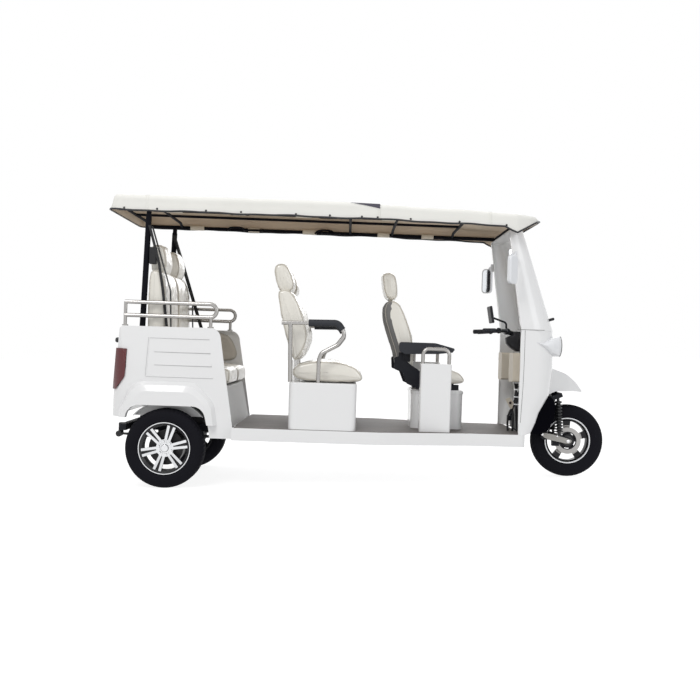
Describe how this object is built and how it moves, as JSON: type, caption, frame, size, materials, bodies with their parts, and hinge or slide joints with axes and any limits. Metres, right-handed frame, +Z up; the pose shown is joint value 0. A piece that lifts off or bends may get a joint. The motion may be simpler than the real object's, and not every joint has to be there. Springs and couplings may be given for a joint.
{
  "type": "auto rickshaw",
  "caption": "Stretched three-wheeled passenger rickshaw with open sides, three seat rows, canvas roof, rear tub and a steered front wheel in a leading-link fork.",
  "frame": {"origin": "on the ground under the middle of the vehicle's length and width", "axes": "+X forward, +Y to the driver's left, +Z up"},
  "size_m": [3.3384, 1.312, 1.9096],
  "materials": {
    "body_white": "cool white gloss paint on moulded panels",
    "frame_black": "black gloss paint on steel",
    "liner_black": "moulded black plastic",
    "mat_grey": "patterned grey-brown floor covering",
    "seat_cream": "cream seat vinyl, smooth with fine wrinkles",
    "pad_black": "black foam armrest skin",
    "steel_tube": "polished stainless tube",
    "canvas_ivory": "ivory coated canvas with tan lining",
    "screen_glass": "clear curved windscreen",
    "lamp_clear": "clear lamp lens",
    "lamp_red": "red lens in a dark surround",
    "pod_white": "white moulded lamp pod",
    "box_beige": "beige moulded storage boxes",
    "mirror_shell": "white mirror shell with black arm",
    "mirror_silver": "silvered glass",
    "belt_black": "woven black webbing",
    "spring_black": "black coil springs and dampers",
    "alloy": "machined alloy with black pockets",
    "tyre_black": "black road rubber"
  },
  "bodies": {
    "chassis": {"deck": "body_white", "floor_mat": "mat_grey", "rear_tub": "body_white", "tail_lamps": "lamp_red", "rear_seat_box": "body_white", "battery_pack": "liner_black", "rear_cushions": "seat_cream", "rear_backs": "seat_cream", "tub_side_pads": "seat_cream", "mid_seat_box": "body_white", "mid_cushions": "seat_cream", "mid_backs": "seat_cream", "seat_arm_rails": "steel_tube", "arm_pads": "pad_black", "driver_pedestal": "body_white", "driver_seat_frame": "frame_black", "driver_cushion": "seat_cream", "driver_back": "seat_cream", "guard_boxes": "body_white", "guard_hoops": "steel_tube", "rear_guard_rails": "steel_tube", "roof_frame": "frame_black", "canopy": "canvas_ivory", "cab_surround": "body_white", "windscreen": "screen_glass", "headlamps": "pod_white", "headlamp_lenses": "lamp_clear", "storage_boxes": "box_beige", "mirrors": "mirror_shell", "mirror_glass": "mirror_silver", "rear_springs": "frame_black", "seat_belts": "belt_black", "brake_pedal": "frame_black", "chassis_frame": "frame_black", "front_cowl": "body_white", "beak_mudguard": "body_white", "wheelhouse": "liner_black", "inner_panel": "body_white", "rear_axle": "frame_black"},
    "steering": {"front_fork": "frame_black", "front_shocks": "spring_black", "handlebar": "frame_black", "grips": "pad_black", "display": "liner_black", "caliper": "frame_black"},
    "front_wheel": {"front_rim": "alloy", "front_tyre": "tyre_black"},
    "rear_wheel_right": {"rear_rim_right": "alloy", "rear_tyre_right": "tyre_black"},
    "rear_wheel_left": {"rear_rim_left": "alloy", "rear_tyre_left": "tyre_black"}
  },
  "joints": [
    {"name": "steering", "type": "hinge", "parent": "chassis", "child": "steering", "pos_m": [1.33316, 0, 0.59], "axis": [-0.342, 0, 0.9397], "range_deg": [-30, 30]},
    {"name": "front_wheel_spin", "type": "hinge", "parent": "steering", "child": "front_wheel", "pos_m": [1.41916, 0, 0.25], "axis": [0, 1, 0], "continuous": true},
    {"name": "rear_right_spin", "type": "hinge", "parent": "chassis", "child": "rear_wheel_right", "pos_m": [-1.28684, -0.577, 0.254], "axis": [0, 1, 0], "continuous": true},
    {"name": "rear_left_spin", "type": "hinge", "parent": "chassis", "child": "rear_wheel_left", "pos_m": [-1.28684, 0.577, 0.254], "axis": [0, 1, 0], "continuous": true}
  ]
}
